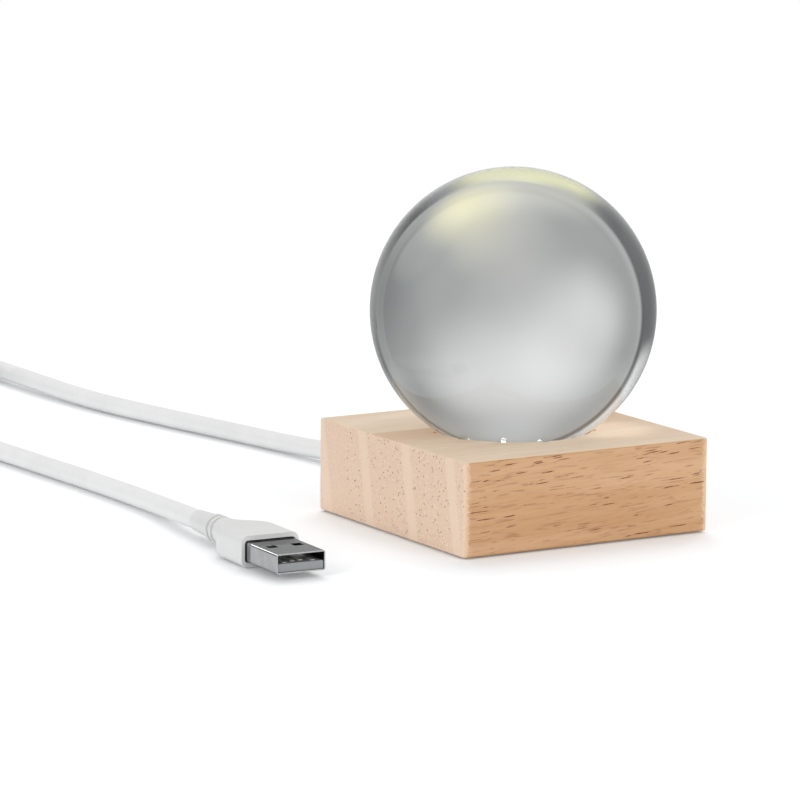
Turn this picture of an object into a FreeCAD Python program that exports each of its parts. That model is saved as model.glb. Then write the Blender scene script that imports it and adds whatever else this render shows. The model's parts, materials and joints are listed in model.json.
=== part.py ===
"""Glass ball lamp: a clear ball resting on a wood block that holds a ring of LEDs on a USB lead.

Millimetres, +Z up. The origin is the centre of the block's footprint, on the table.
-Y is the long-grain front face and the lead leaves the +Y face.
"""
import FreeCAD
import Part
import math
import os

Vec = FreeCAD.Vector
UP = Vec(0, 0, 1)
REARWARD = Vec(0, 1, 0)

# Glass ball
ball_diameter = 66.4
ball_sink = 5.6

# Wood block, as wide as the ball but for the ball's overhang on each side
ball_overhang = 0.4
block_height = 21.8
block_corner_radius = 0.9
block_edge_radius = 0.5

# Seat under the ball, with notches that let light out at the ball's foot
seat_clearance = 0.25
seat_land = 1.8
notch_radius = 1.4
notch_setback = 0.6
well_depth = 8.8
light_count = 12
light_phase_deg = 21.0

# LED board, hung under a ledge around the well
ledge_width = 5.6
board_thickness = 1.6
board_clearance = 0.5
led_length = 3.5
led_width = 2.8
led_height = 0.8
led_inset = 4.0
led_rim = 0.45
phosphor_depth = 0.35
resistor_length = 3.2
resistor_width = 1.6
resistor_height = 0.55
resistor_count = 4
resistor_ring_radius = 10.5
resistor_step_deg = 40.0
solder_radius = 1.1
solder_tip_radius = 0.8
solder_height = 0.9
solder_spacing = 6.4
solder_offset = 4.0

# Screws
board_screw_count = 3
board_screw_radius = 1.0
board_screw_length = 6.0
board_screw_head_radius = 1.8
board_screw_head_height = 1.3
cover_screw_count = 4
cover_screw_radius = 1.3
cover_screw_length = 8.0
cover_screw_head_radius = 2.5
cover_screw_head_height = 1.3
screw_slot_width = 0.5
screw_slot_depth = 0.5
screw_tip_radius = 0.2
screw_clearance = 0.1

# Bottom cover, and feet in shallow pockets
cover_lip = 7.0
cover_thickness = 2.2
cover_recess_depth = 2.4
cover_clearance = 0.2
cover_chamfer = 0.4
foot_radius = 4.5
foot_thickness = 1.0
foot_pocket_depth = 0.8
foot_clearance = 0.1
foot_inset = 6.5

# Lead: grommet, inner end and wires
cord_diameter = 4.6
cord_clearance = 0.1
grommet_radius = 3.5
grommet_clearance = 0.1
grommet_overhang = 0.4
grommet_flange_radius = 4.6
grommet_flange_thickness = 1.2
grommet_nose_length = 4.0
grommet_nose_radius = 3.1
tie_width = 2.6
tie_thickness = 1.1
tie_head_length = 3.4
tie_head_height = 3.6
tie_gap = 0.1
jacket_tail = 4.0
wire_diameter = 1.2
wire_spacing = 2.0
wire_straight = 3.0

# Lead outside the lamp, lying on the table
lay_clearance = 0.05
arc_share = 0.45
exit_run = 9.3
coil_entry_run = 28.5
coil_exit_run = 21.0
plug_straight_run = 8.0
coil_center = (-48.5, 247.0)
coil_outer_radius = 29.0
coil_layer_turns = 2
coil_pitch = 5.2
coil_layer_pitch = 5.2
coil_sample_step = 0.8
band_width = 5.0
band_thickness = 0.4
band_side_clearance = 0.45
band_under_clearance = 0.1
band_corner_radius = 2.2
band_tab_length = 6.0

# USB plug, in its own frame: mouth at y 0, cord towards +y, underside at z 0
plug_mouth = (-74.6, -32.7)
plug_yaw_deg = -2.6
shell_width = 12.0
shell_height = 4.5
shell_wall = 0.3
shell_corner_radius = 0.5
shell_exposed = 15.2
shell_buried = 9.0
window_length = 2.4
window_width = 2.4
window_spacing = 6.35
window_from_mouth = 8.2
overmold_width = 14.2
overmold_height = 7.2
overmold_corner_radius = 1.7
overmold_straight = 11.5
shoulder_length = 10.5
shoulder_steps = 8
neck_radius = 3.2
neck_corner_radius = 3.1
neck_length = 5.5
neck_groove_depth = 0.45
neck_groove_width = 1.1
neck_groove_count = 2
tail_length = 9.0
tail_radius = 2.9
tail_tip_radius = 2.5
mouth_recess_depth = 0.8
mouth_recess_gap = 0.3
shell_fit = 0.1
tongue_thickness = 1.84
tongue_setback = 0.3
tongue_clearance = 0.05
contact_width = 1.0
contact_thickness = 0.15
contact_setback = 1.0
contact_stagger = 1.0
contact_length = 9.0
contact_offsets = (-3.5, -1.0, 1.0, 3.5)

# Widths
block_side = ball_diameter - 2 * ball_overhang
ball_radius = ball_diameter / 2

# Heights
block_bottom = foot_thickness - foot_pocket_depth
block_top = block_bottom + block_height
ball_center = Vec(0, 0, block_top - ball_sink + ball_radius)
ledge_z = block_top - well_depth
board_bottom = ledge_z - board_thickness
cover_top = block_bottom + cover_recess_depth
cover_bottom = cover_top - cover_thickness
exit_height = (cover_top + board_bottom) / 2

# Radii about the lamp's axis
seat_radius = ball_radius + seat_clearance
seat_rim = math.sqrt(seat_radius ** 2 - (ball_center.z - block_top) ** 2)
well_radius = seat_rim - seat_land
cavity_radius = well_radius + ledge_width
board_radius = cavity_radius - board_clearance
led_ring_radius = well_radius - led_inset
board_screw_ring = well_radius + ledge_width / 2
cover_radius = cavity_radius + cover_lip
cover_screw_ring = cavity_radius + cover_lip / 2

# Places along the lead, from the wires outwards
cord_radius = cord_diameter / 2
rear_face = block_side / 2
grommet_inner_end = cavity_radius - grommet_overhang
tie_reach = cord_radius + tie_head_length
tie_back = min(grommet_inner_end, math.sqrt(cavity_radius ** 2 - tie_reach ** 2)) - tie_gap
tie_front = tie_back - tie_width
jacket_end = tie_front - jacket_tail
nose_tip = rear_face + grommet_flange_thickness + grommet_nose_length
floor_z = cord_radius + lay_clearance
coil_low_z = floor_z + band_thickness + band_under_clearance
coil_high_z = coil_low_z + coil_layer_pitch
coil_turns = 2 * coil_layer_turns + 0.5
coil_entry = Vec(coil_center[0] + coil_outer_radius, coil_center[1] - cord_diameter, coil_low_z)
coil_exit = Vec(coil_center[0] - coil_outer_radius, coil_center[1] - cord_diameter, coil_high_z)

# Plug lengths
plug_axis_z = overmold_height / 2
shoulder_start = shell_exposed + overmold_straight
neck_start = shoulder_start + shoulder_length
tail_start = neck_start + neck_length
plug_length = tail_start + tail_length
plug_placement = FreeCAD.Placement(
    Vec(plug_mouth[0], plug_mouth[1], lay_clearance), FreeCAD.Rotation(UP, plug_yaw_deg))
plug_cord_end = plug_placement.multVec(Vec(0, plug_length, plug_axis_z))
plug_run = plug_placement.multVec(Vec(0, plug_length + plug_straight_run, plug_axis_z))

# Route of the lead from the grommet to the coil, and from the coil to the plug
lead_points = [
    Vec(0, rear_face, exit_height),
    Vec(0, nose_tip + exit_run, exit_height),
    Vec(0.3, 63, 5.4),
    Vec(-1.0, 80, 3.0),
    Vec(-4.1, 100.5, floor_z),
    Vec(-8.7, 125.5, floor_z),
    Vec(-14.2, 152.5, floor_z),
    Vec(-18.6, 182, floor_z),
    coil_entry - REARWARD * coil_entry_run,
    coil_entry,
]
return_points = [
    coil_exit,
    coil_exit - REARWARD * coil_exit_run,
    Vec(-72.8, 196, 5.0),
    Vec(-72.4, 168, 2.7),
    Vec(-71.5, 138, floor_z),
    Vec(-70.3, 108, floor_z),
    Vec(-69.0, 80, floor_z),
    Vec(-68.6, 57, floor_z),
    Vec(-69.6, 40, 2.7),
    plug_run,
    plug_cord_end,
]


def ring_points(count, radius, z, start_deg=0.0):
    """Points evenly spaced on a circle about the lamp's axis."""
    angles = [math.radians(start_deg + 360.0 * index / count) for index in range(count)]
    return [Vec(radius * math.cos(angle), radius * math.sin(angle), z) for angle in angles]


def centered_box(length, width, height, base):
    """Box whose underside is centred on base."""
    return Part.makeBox(length, width, height, base - Vec(length / 2, width / 2, 0))


def unit(vector):
    return vector / vector.Length


def tangent_arc(start, corner, end):
    """Arc from start to end whose tangents meet at corner."""
    middle = (start + end) / 2
    half_chord = (end - start).Length / 2
    rise = corner - middle
    half_turn = math.atan2(rise.Length, half_chord)
    crown = middle + unit(rise) * half_chord * math.tan(half_turn / 2)
    return Part.Arc(start, crown, end).toShape()


def line(start, end):
    return Part.LineSegment(start, end).toShape()


def pipe(edges, start, direction, radius, label):
    """Solid round tube along edges, with its volume compared with section times length."""
    path = Part.Wire(edges)
    profile = Part.Wire(Part.makeCircle(radius, start, direction))
    solid = path.makePipeShell([profile], True, False)
    share = solid.Volume / (math.pi * radius ** 2 * path.Length)
    print(f"{label}: length {path.Length:.1f} mm, volume over section times length {share:.5f}")
    return solid


def tube(points, radius, label):
    """Round tube along straight runs joined by arcs that are as large as the runs allow."""
    edges = []
    radii = []
    start = points[0]
    for before, corner, after in zip(points, points[1:], points[2:]):
        incoming = corner - before
        outgoing = after - corner
        reach = arc_share * min(incoming.Length, outgoing.Length)
        arc_start = corner - unit(incoming) * reach
        arc_end = corner + unit(outgoing) * reach
        edges.append(line(start, arc_start))
        edges.append(tangent_arc(arc_start, corner, arc_end))
        radii.append(reach / math.tan(incoming.getAngle(outgoing) / 2))
        start = arc_end
    edges.append(line(start, points[-1]))
    print(f"{label}: bend radii", [round(value, 1) for value in radii])
    return pipe(edges, points[0], points[1] - points[0], radius, label)


def biarc(start, start_way, end, end_way):
    """Two arcs that leave start along start_way and reach end along end_way."""
    span = end - start
    ways = start_way + end_way
    bend = 2 * (1 - start_way.dot(end_way))
    reach = (math.sqrt(span.dot(ways) ** 2 + bend * span.dot(span)) - span.dot(ways)) / bend
    first_corner = start + start_way * reach
    second_corner = end - end_way * reach
    join = (first_corner + second_corner) / 2
    return [tangent_arc(start, first_corner, join), tangent_arc(join, second_corner, end)]


def rounded_block():
    block = centered_box(block_side, block_side, block_height, Vec(0, 0, block_bottom))
    upright = [edge for edge in block.Edges if abs(edge.tangentAt(edge.FirstParameter).z) > 0.99]
    block = block.makeFillet(block_corner_radius, upright)
    level = [edge for edge in block.Edges if edge.BoundBox.ZLength < block_edge_radius / 10]
    return block.makeFillet(block_edge_radius, level)


def screw(head_base, way, radius, length, head_radius, head_height, flat_head):
    """Wood screw whose head starts at head_base and whose thread runs along way to a point."""
    point_length = 2 * radius
    thread = Part.makeCylinder(radius, length - point_length, head_base, way)
    point = Part.makeCone(radius, screw_tip_radius, point_length,
                          head_base + way * (length - point_length), way)
    if flat_head:
        head = Part.makeCone(head_radius, radius, head_height, head_base, way)
        top = head_base
    else:
        head = Part.makeCylinder(head_radius, head_height, head_base - way * head_height, way)
        top = head_base - way * head_height
    slot = Part.makeBox(2 * head_radius, screw_slot_width, screw_slot_depth,
                        Vec(top.x - head_radius, top.y - screw_slot_width / 2, top.z))
    return thread.multiFuse([point, head]).removeSplitter().cut(slot)


def light_places(radius, z):
    return ring_points(light_count, radius, z, light_phase_deg)


def board_screw_places(z):
    half_step = 180.0 / light_count
    return ring_points(board_screw_count, board_screw_ring, z, light_phase_deg + half_step)


def cover_screw_places(z):
    return ring_points(cover_screw_count, cover_screw_ring, z, 180.0 / cover_screw_count)


def foot_place(side_x, side_y, z):
    offset = block_side / 2 - foot_inset
    return Vec(side_x * offset, side_y * offset, z)


def wood_base():
    cuts = [
        Part.makeSphere(seat_radius, ball_center),
        Part.makeCylinder(well_radius, block_top - ledge_z, Vec(0, 0, ledge_z)),
        Part.makeCylinder(cavity_radius, ledge_z - block_bottom, Vec(0, 0, block_bottom)),
        Part.makeCylinder(cover_radius + cover_clearance, cover_recess_depth, Vec(0, 0, block_bottom)),
        Part.makeCylinder(grommet_radius + grommet_clearance, rear_face, Vec(0, 0, exit_height), REARWARD)
        .common(Part.makeBox(block_side, rear_face - well_radius, block_height,
                             Vec(-block_side / 2, well_radius, block_bottom))),
    ]
    for place in light_places(seat_rim - notch_setback, ledge_z):
        cuts.append(Part.makeCylinder(notch_radius, well_depth, place))
    for place in board_screw_places(ledge_z):
        cuts.append(Part.makeCylinder(board_screw_radius + screw_clearance, board_screw_length, place))
    for place in cover_screw_places(cover_top):
        cuts.append(Part.makeCylinder(cover_screw_radius + screw_clearance, cover_screw_length, place))
    for side_x in (1, -1):
        for side_y in (1, -1):
            cuts.append(Part.makeCylinder(foot_radius + foot_clearance, foot_pocket_depth,
                                          foot_place(side_x, side_y, block_bottom)))
    return rounded_block().cut(cuts)


def led_board():
    board = Part.makeCylinder(board_radius, board_thickness, Vec(0, 0, board_bottom))
    holes = [Part.makeCylinder(board_screw_radius + screw_clearance, board_thickness, place)
             for place in board_screw_places(board_bottom)]
    return board.cut(holes)


def board_screws():
    return Part.makeCompound([
        screw(place, UP, board_screw_radius, board_screw_length, board_screw_head_radius,
              board_screw_head_height, flat_head=False)
        for place in board_screw_places(board_bottom)])


def led_solids():
    """Each LED's body, and the phosphor that fills its pocket, long side along the ring."""
    bodies = []
    phosphors = []
    pocket_z = ledge_z + led_height - phosphor_depth
    for index, place in enumerate(light_places(led_ring_radius, ledge_z)):
        turn = light_phase_deg + 360.0 * index / light_count
        body = centered_box(led_width, led_length, led_height, Vec(0, 0, ledge_z))
        pocket = centered_box(led_width - 2 * led_rim, led_length - 2 * led_rim, phosphor_depth,
                              Vec(0, 0, pocket_z))
        body = body.cut(pocket)
        for solid in (body, pocket):
            solid.rotate(Vec(0, 0, 0), UP, turn)
            solid.translate(Vec(place.x, place.y, 0))
        bodies.append(body)
        phosphors.append(pocket)
    return bodies, phosphors


def resistors():
    chips = []
    for index in range(resistor_count):
        turn = 270.0 + resistor_step_deg * (index - (resistor_count - 1) / 2)
        chip = centered_box(resistor_width, resistor_length, resistor_height,
                            Vec(resistor_ring_radius, 0, board_bottom - resistor_height))
        chip.rotate(Vec(0, 0, 0), UP, turn)
        chips.append(chip)
    return Part.makeCompound(chips)


def solder_places():
    return [Vec(side * solder_spacing / 2, solder_offset, board_bottom - solder_height) for side in (1, -1)]


def solder_joints():
    return Part.makeCompound([
        Part.makeCone(solder_tip_radius, solder_radius, solder_height, place) for place in solder_places()])


def supply_wire(side):
    """Wire from the jacket's end to its solder joint."""
    joint = solder_places()[0 if side > 0 else 1]
    start = Vec(side * wire_spacing / 2, jacket_end, exit_height)
    points = [start, start - REARWARD * wire_straight, Vec(joint.x, joint.y, exit_height), joint]
    return tube(points, wire_diameter / 2, f"wire {side:+d}")


def cord_entry():
    """Jacketed end of the lead inside the lamp, up to the block's rear face."""
    return Part.makeCylinder(cord_radius, rear_face - jacket_end, Vec(0, jacket_end, exit_height), REARWARD)


def strain_relief_tie():
    start = Vec(0, tie_front, exit_height)
    band = Part.makeCylinder(cord_radius + tie_thickness, tie_width, start, REARWARD)
    head = Part.makeBox(tie_head_length, tie_width, tie_head_height,
                        start + Vec(cord_radius, 0, -tie_head_height / 2))
    hole = Part.makeCylinder(cord_radius + tie_gap, tie_width, start, REARWARD)
    return band.fuse(head).cut(hole).removeSplitter()


def grommet():
    inner = Vec(0, grommet_inner_end, exit_height)
    flange_start = Vec(0, rear_face, exit_height)
    nose_start = flange_start + REARWARD * grommet_flange_thickness
    sleeve = Part.makeCylinder(grommet_radius, rear_face - grommet_inner_end, inner, REARWARD)
    flange = Part.makeCylinder(grommet_flange_radius, grommet_flange_thickness, flange_start, REARWARD)
    nose = Part.makeCone(grommet_radius, grommet_nose_radius, grommet_nose_length, nose_start, REARWARD)
    bore = Part.makeCylinder(cord_radius + cord_clearance, nose_tip - grommet_inner_end, inner, REARWARD)
    return sleeve.multiFuse([flange, nose]).cut(bore).removeSplitter()


def bottom_cover():
    cover = Part.makeCylinder(cover_radius, cover_thickness, Vec(0, 0, cover_bottom))
    outer_edge = [edge for edge in cover.Edges
                  if abs(edge.BoundBox.ZMax - cover_bottom) < cover_chamfer / 10]
    cover = cover.makeChamfer(cover_chamfer, outer_edge)
    hole_radius = cover_screw_radius + screw_clearance
    holes = []
    for place in cover_screw_places(cover_bottom):
        sink = Part.makeCone(cover_screw_head_radius + screw_clearance, hole_radius,
                             cover_screw_head_height, place)
        hole = Part.makeCylinder(hole_radius, cover_thickness - cover_screw_head_height,
                                 place + UP * cover_screw_head_height)
        holes.append(sink.fuse(hole))
    return cover.cut(holes)


def cover_screws():
    return Part.makeCompound([
        screw(place, UP, cover_screw_radius, cover_screw_length, cover_screw_head_radius,
              cover_screw_head_height, flat_head=True)
        for place in cover_screw_places(cover_bottom)])


def foot(side_x, side_y):
    return Part.makeCylinder(foot_radius, foot_thickness, foot_place(side_x, side_y, 0))


def coil_place(turn):
    """Point and direction of the coil's centreline after a number of turns."""
    half = coil_turns / 2
    radius = coil_outer_radius - coil_pitch * min(turn, coil_turns - turn)
    climb = min(max((turn - half) * 2 + 0.5, 0), 1)
    at_bend = turn in (0, half, coil_turns)
    radial_rate = 0 if at_bend else math.copysign(coil_pitch / (2 * math.pi), turn - half)
    climb_rate = 1.5 * coil_layer_pitch / math.pi if turn == half else 0
    angle = 2 * math.pi * turn
    outward = Vec(math.cos(angle), math.sin(angle), 0)
    along = Vec(-math.sin(angle), math.cos(angle), 0)
    center = Vec(coil_center[0], coil_center[1], coil_low_z + coil_layer_pitch * climb)
    return center + outward * radius, unit(outward * radial_rate + along * radius + UP * climb_rate)


def least_self_gap(edges):
    """Least gap between parts of the coil that are more than a few diameters apart along it."""
    points = []
    for edge in edges:
        points.extend(edge.discretize(max(2, int(edge.Length / coil_sample_step)))[:-1])
    skip = int(3 * cord_diameter / coil_sample_step)
    nearest = min((points[first] - points[second]).Length
                  for first in range(len(points)) for second in range(first + skip, len(points)))
    return nearest - cord_diameter


def cord_coil():
    """Coil that spirals in on the table, climbs a layer and spirals out on top."""
    places = [coil_place(quarter / 4) for quarter in range(int(4 * coil_turns) + 1)]
    edges = [line(coil_entry, places[0][0])]
    for (start, start_way), (end, end_way) in zip(places, places[1:]):
        edges.extend(biarc(start, start_way, end, end_way))
    edges.append(line(places[-1][0], coil_exit))
    print(f"coil: least gap to itself {least_self_gap(edges):.2f} mm")
    return pipe(edges, coil_entry, REARWARD, cord_radius, "coil")


def rounded_outline(width, height, radius):
    """Rounded rectangle about the origin in the XZ plane, as a closed wire."""
    right = width / 2
    top = height / 2
    slant = radius * (1 - math.sqrt(0.5))
    edges = []
    for side_x, side_z in ((1, 1), (-1, 1), (-1, -1), (1, -1)):
        start = Vec(side_x * right, 0, side_z * (top - radius))
        crown = Vec(side_x * (right - slant), 0, side_z * (top - slant))
        end = Vec(side_x * (right - radius), 0, side_z * top)
        if side_x * side_z < 0:
            start, end = end, start
        edges.append(Part.Arc(start, crown, end).toShape())
    ends = [(edge.Vertexes[0].Point, edge.Vertexes[1].Point) for edge in edges]
    loop = []
    for index, edge in enumerate(edges):
        loop.append(edge)
        loop.append(line(ends[index][1], ends[(index + 1) % len(ends)][0]))
    return Part.Wire(Part.__sortEdges__(loop))


def rounded_bar(width, height, radius, y, length, z):
    """Bar along Y with a rounded rectangle section whose centre is at height z."""
    bar = Part.Face(rounded_outline(width, height, radius)).extrude(REARWARD * length)
    bar.translate(Vec(0, y, z))
    return bar


def coil_tie():
    """Band around the coil's strands on its -Y side, with a lapped tab on top."""
    side_turn = 0.75
    spread = coil_pitch * (coil_layer_turns - 1)
    mid_radius = coil_outer_radius - coil_pitch * side_turn - spread / 2
    across = spread + cord_diameter + 2 * band_side_clearance
    tall = coil_layer_pitch + cord_diameter + 2 * band_under_clearance
    center = Vec(coil_center[0] - band_width / 2, coil_center[1] - mid_radius,
                 (coil_low_z + coil_high_z) / 2)
    outside = rounded_bar(across + 2 * band_thickness, tall + 2 * band_thickness,
                          band_corner_radius + band_thickness, 0, band_width, 0)
    inside = rounded_bar(across, tall, band_corner_radius, 0, band_width, 0)
    tab = Part.makeBox(band_tab_length, band_width, band_thickness,
                       Vec(-band_tab_length / 2, 0, tall / 2 + band_thickness))
    band = outside.cut(inside).fuse(tab).removeSplitter()
    band.rotate(Vec(0, 0, 0), UP, -90)
    band.translate(center)
    return band


def overmold_outline(y, width, height, radius):
    outline = rounded_outline(width, height, radius)
    outline.translate(Vec(0, y, plug_axis_z))
    return outline


def plug_overmold():
    """Moulded grip that narrows to a grooved neck and a tapered tail, with the shell's socket in front."""
    neck_size = 2 * neck_radius
    outlines = []
    for index in range(shoulder_steps + 1):
        along = index / shoulder_steps
        share = (1 + math.cos(math.pi * along)) / 2
        width = neck_size + share * (overmold_width - neck_size)
        height = neck_size + share * (overmold_height - neck_size)
        radius = neck_corner_radius + share * (overmold_corner_radius - neck_corner_radius)
        outlines.append(overmold_outline(shoulder_start + along * shoulder_length, width, height, radius))
    shoulder = Part.makeLoft(outlines, True, False)
    grip = rounded_bar(overmold_width, overmold_height, overmold_corner_radius, shell_exposed,
                       overmold_straight, plug_axis_z)
    neck_base = Vec(0, neck_start, plug_axis_z)
    neck = Part.makeCylinder(neck_radius, neck_length, neck_base, REARWARD)
    tail_base = Vec(0, tail_start, plug_axis_z)
    tail = Part.makeCone(tail_radius, tail_tip_radius, tail_length, tail_base, REARWARD)
    step = neck_length / (neck_groove_count + 0.5)
    grooves = []
    for index in range(neck_groove_count):
        place = neck_base + REARWARD * (step * (index + 0.5))
        ring = Part.makeCylinder(neck_radius + neck_groove_depth, neck_groove_width, place, REARWARD)
        core = Part.makeCylinder(neck_radius - neck_groove_depth, neck_groove_width, place, REARWARD)
        grooves.append(ring.cut(core))
    socket = rounded_bar(shell_width + 2 * shell_fit, shell_height + 2 * shell_fit,
                         shell_corner_radius + shell_fit, shell_exposed, shell_buried, plug_axis_z)
    recess = rounded_bar(shell_width + 2 * mouth_recess_gap, shell_height + 2 * mouth_recess_gap,
                         shell_corner_radius + mouth_recess_gap, shell_exposed, mouth_recess_depth,
                         plug_axis_z)
    return grip.multiFuse([shoulder, neck, tail]).cut([socket, recess] + grooves)


def plug_shell():
    length = shell_exposed + shell_buried
    inner_width = shell_width - 2 * shell_wall
    inner_height = shell_height - 2 * shell_wall
    outside = rounded_bar(shell_width, shell_height, shell_corner_radius, 0, length, plug_axis_z)
    inside = rounded_bar(inner_width, inner_height, shell_corner_radius - shell_wall, 0, length,
                         plug_axis_z)
    windows = [
        centered_box(window_width, window_length, 2 * shell_height,
                     Vec(side * window_spacing / 2, window_from_mouth, plug_axis_z - shell_height))
        for side in (1, -1)]
    return outside.cut(inside).cut(windows)


def tongue_top():
    return plug_axis_z - shell_height / 2 + shell_wall + tongue_clearance + tongue_thickness


def plug_tongue():
    """Insulator: a tongue on the shell's floor, and a block that fills the shell inside the grip."""
    width = shell_width - 2 * shell_wall - 2 * tongue_clearance
    height = shell_height - 2 * shell_wall - 2 * tongue_clearance
    bottom = tongue_top() - tongue_thickness
    tongue = Part.makeBox(width, shell_exposed + shell_buried - tongue_setback, tongue_thickness,
                          Vec(-width / 2, tongue_setback, bottom))
    block = Part.makeBox(width, shell_buried, height, Vec(-width / 2, shell_exposed, bottom))
    corner = max(shell_corner_radius - shell_wall, tongue_clearance)
    solid = tongue.fuse(block).removeSplitter()
    long_edges = [edge for edge in solid.Edges if edge.BoundBox.YLength > shell_buried * 0.99]
    return solid.makeChamfer(corner, long_edges)


def plug_contacts():
    strips = []
    for offset in contact_offsets:
        inner = abs(offset) < max(contact_offsets)
        start = tongue_setback + contact_setback + (contact_stagger if inner else 0)
        strips.append(centered_box(contact_width, contact_length, contact_thickness,
                                   Vec(offset, start + contact_length / 2, tongue_top())))
    return Part.makeCompound(strips)


def in_plug_place(shape):
    shape.Placement = plug_placement.multiply(shape.Placement)
    return shape


led_bodies, led_phosphors = led_solids()
nodes = {
    "glass_ball": Part.makeSphere(ball_radius, ball_center),
    "wood_base": wood_base(),
    "led_board": led_board(),
    "led_phosphors": Part.makeCompound(led_phosphors),
    "resistors": resistors(),
    "solder_joints": solder_joints(),
    "board_screws": board_screws(),
    "wire_red": supply_wire(1),
    "wire_black": supply_wire(-1),
    "cord_entry": cord_entry(),
    "strain_relief_tie": strain_relief_tie(),
    "grommet": grommet(),
    "bottom_cover": bottom_cover(),
    "cover_screws": cover_screws(),
    "foot_front_left": foot(-1, -1),
    "foot_front_right": foot(1, -1),
    "foot_rear_left": foot(-1, 1),
    "foot_rear_right": foot(1, 1),
    "cord_lead": tube(lead_points, cord_radius, "lead"),
    "cord_coil": cord_coil(),
    "cord_return": tube(return_points, cord_radius, "return"),
    "coil_tie": coil_tie(),
    "plug_overmold": in_plug_place(plug_overmold()),
    "plug_shell": in_plug_place(plug_shell()),
    "plug_tongue": in_plug_place(plug_tongue()),
    "plug_contacts": in_plug_place(plug_contacts()),
}
for number, body in enumerate(led_bodies, 1):
    nodes[f"led_{number:02d}"] = body

os.makedirs("parts", exist_ok=True)
for name, shape in nodes.items():
    shape.exportStep(f"parts/{name}.step")
    print(f"{name}: {len(shape.Solids)} solid(s), valid {shape.isValid()}, {shape.Volume:.1f} mm3")
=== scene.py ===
"""Looks of the glass ball lamp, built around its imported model. Metres, in the model's own frame."""
import bmesh
import bpy
import json
import math
from mathutils import Matrix, Vector


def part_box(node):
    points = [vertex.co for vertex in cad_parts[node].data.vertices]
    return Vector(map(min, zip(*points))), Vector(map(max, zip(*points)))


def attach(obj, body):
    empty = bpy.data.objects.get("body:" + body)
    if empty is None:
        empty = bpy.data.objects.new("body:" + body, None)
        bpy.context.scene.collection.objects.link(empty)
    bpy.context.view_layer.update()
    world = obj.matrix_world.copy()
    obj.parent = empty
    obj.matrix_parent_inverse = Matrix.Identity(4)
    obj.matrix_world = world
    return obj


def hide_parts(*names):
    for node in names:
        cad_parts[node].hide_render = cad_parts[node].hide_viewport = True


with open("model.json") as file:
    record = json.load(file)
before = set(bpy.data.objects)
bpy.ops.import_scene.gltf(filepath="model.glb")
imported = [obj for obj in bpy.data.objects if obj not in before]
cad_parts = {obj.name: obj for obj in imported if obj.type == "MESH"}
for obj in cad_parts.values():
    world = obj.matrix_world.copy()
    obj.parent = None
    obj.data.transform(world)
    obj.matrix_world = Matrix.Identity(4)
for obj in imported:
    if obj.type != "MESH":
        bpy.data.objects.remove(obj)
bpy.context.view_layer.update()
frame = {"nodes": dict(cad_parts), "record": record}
nodes = frame["nodes"]
scene = bpy.context.scene
scene.view_settings.view_transform = "Standard"

MM = 0.001
WHITE = (1.0, 1.0, 1.0)

# Camera, fitted to the photo's view of the block
CAMERA_AZIMUTH = math.radians(-31.941)
CAMERA_ELEVATION = math.radians(9.407)
CAMERA_ROLL = math.radians(0.564)
CAMERA_DISTANCE = 1.1453
CAMERA_ANCHOR = Vector((0, 0, 0.040))
CAMERA_TARGET = Vector((-0.02306, 0.01214, 0.02856))
CAMERA_LENS = 222.5
CAMERA_SENSOR_WIDTH = 36.0

BACK = Vector((math.sin(CAMERA_AZIMUTH) * math.cos(CAMERA_ELEVATION),
               -math.cos(CAMERA_AZIMUTH) * math.cos(CAMERA_ELEVATION),
               math.sin(CAMERA_ELEVATION)))
RIGHT = Vector((math.cos(CAMERA_AZIMUTH), math.sin(CAMERA_AZIMUTH), 0))
UP = BACK.cross(RIGHT)

# Lead, with the route's points and the coil in millimetres
CORD_DIAMETER = 0.0046
CORD_RESOLUTION = 8
LEAD_POINTS = [
    (0, 32.8, 7.1), (0, 47.3, 7.1), (0.3, 63, 5.4), (-1.0, 80, 3.0), (-4.1, 100.5, 2.35),
    (-8.7, 125.5, 2.35), (-14.2, 152.5, 2.35), (-18.6, 182, 2.35), (-19.5, 213.9, 2.85), (-19.5, 242.4, 2.85),
]
RETURN_POINTS = [
    (-77.5, 242.4, 8.05), (-77.5, 221.4, 8.05), (-72.8, 196, 5.0), (-72.4, 168, 2.7), (-71.5, 138, 2.35),
    (-70.3, 108, 2.35), (-69.0, 80, 2.35), (-68.6, 57, 2.35), (-69.6, 40, 2.7), (-71.89, 26.94, 3.65),
    (-72.26, 18.95, 3.65),
]
COIL_CENTER = (-48.5, 247.0)
COIL_OUTER_RADIUS = 29.0
COIL_PITCH = 5.2
COIL_LAYER_PITCH = 5.2
COIL_LOW_Z = 2.85
COIL_TURNS = 4.5
COIL_CLIMB_TURNS = 0.5
COIL_POINTS_PER_TURN = 20

BALL_SUBDIVISIONS = 6


def in_view_axes(right, up, ahead):
    """Unit vector from parts along the photo's right, up and viewing directions."""
    return (RIGHT * right + UP * up - BACK * ahead).normalized()


def rgba(color):
    return (*color, 1.0)


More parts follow.
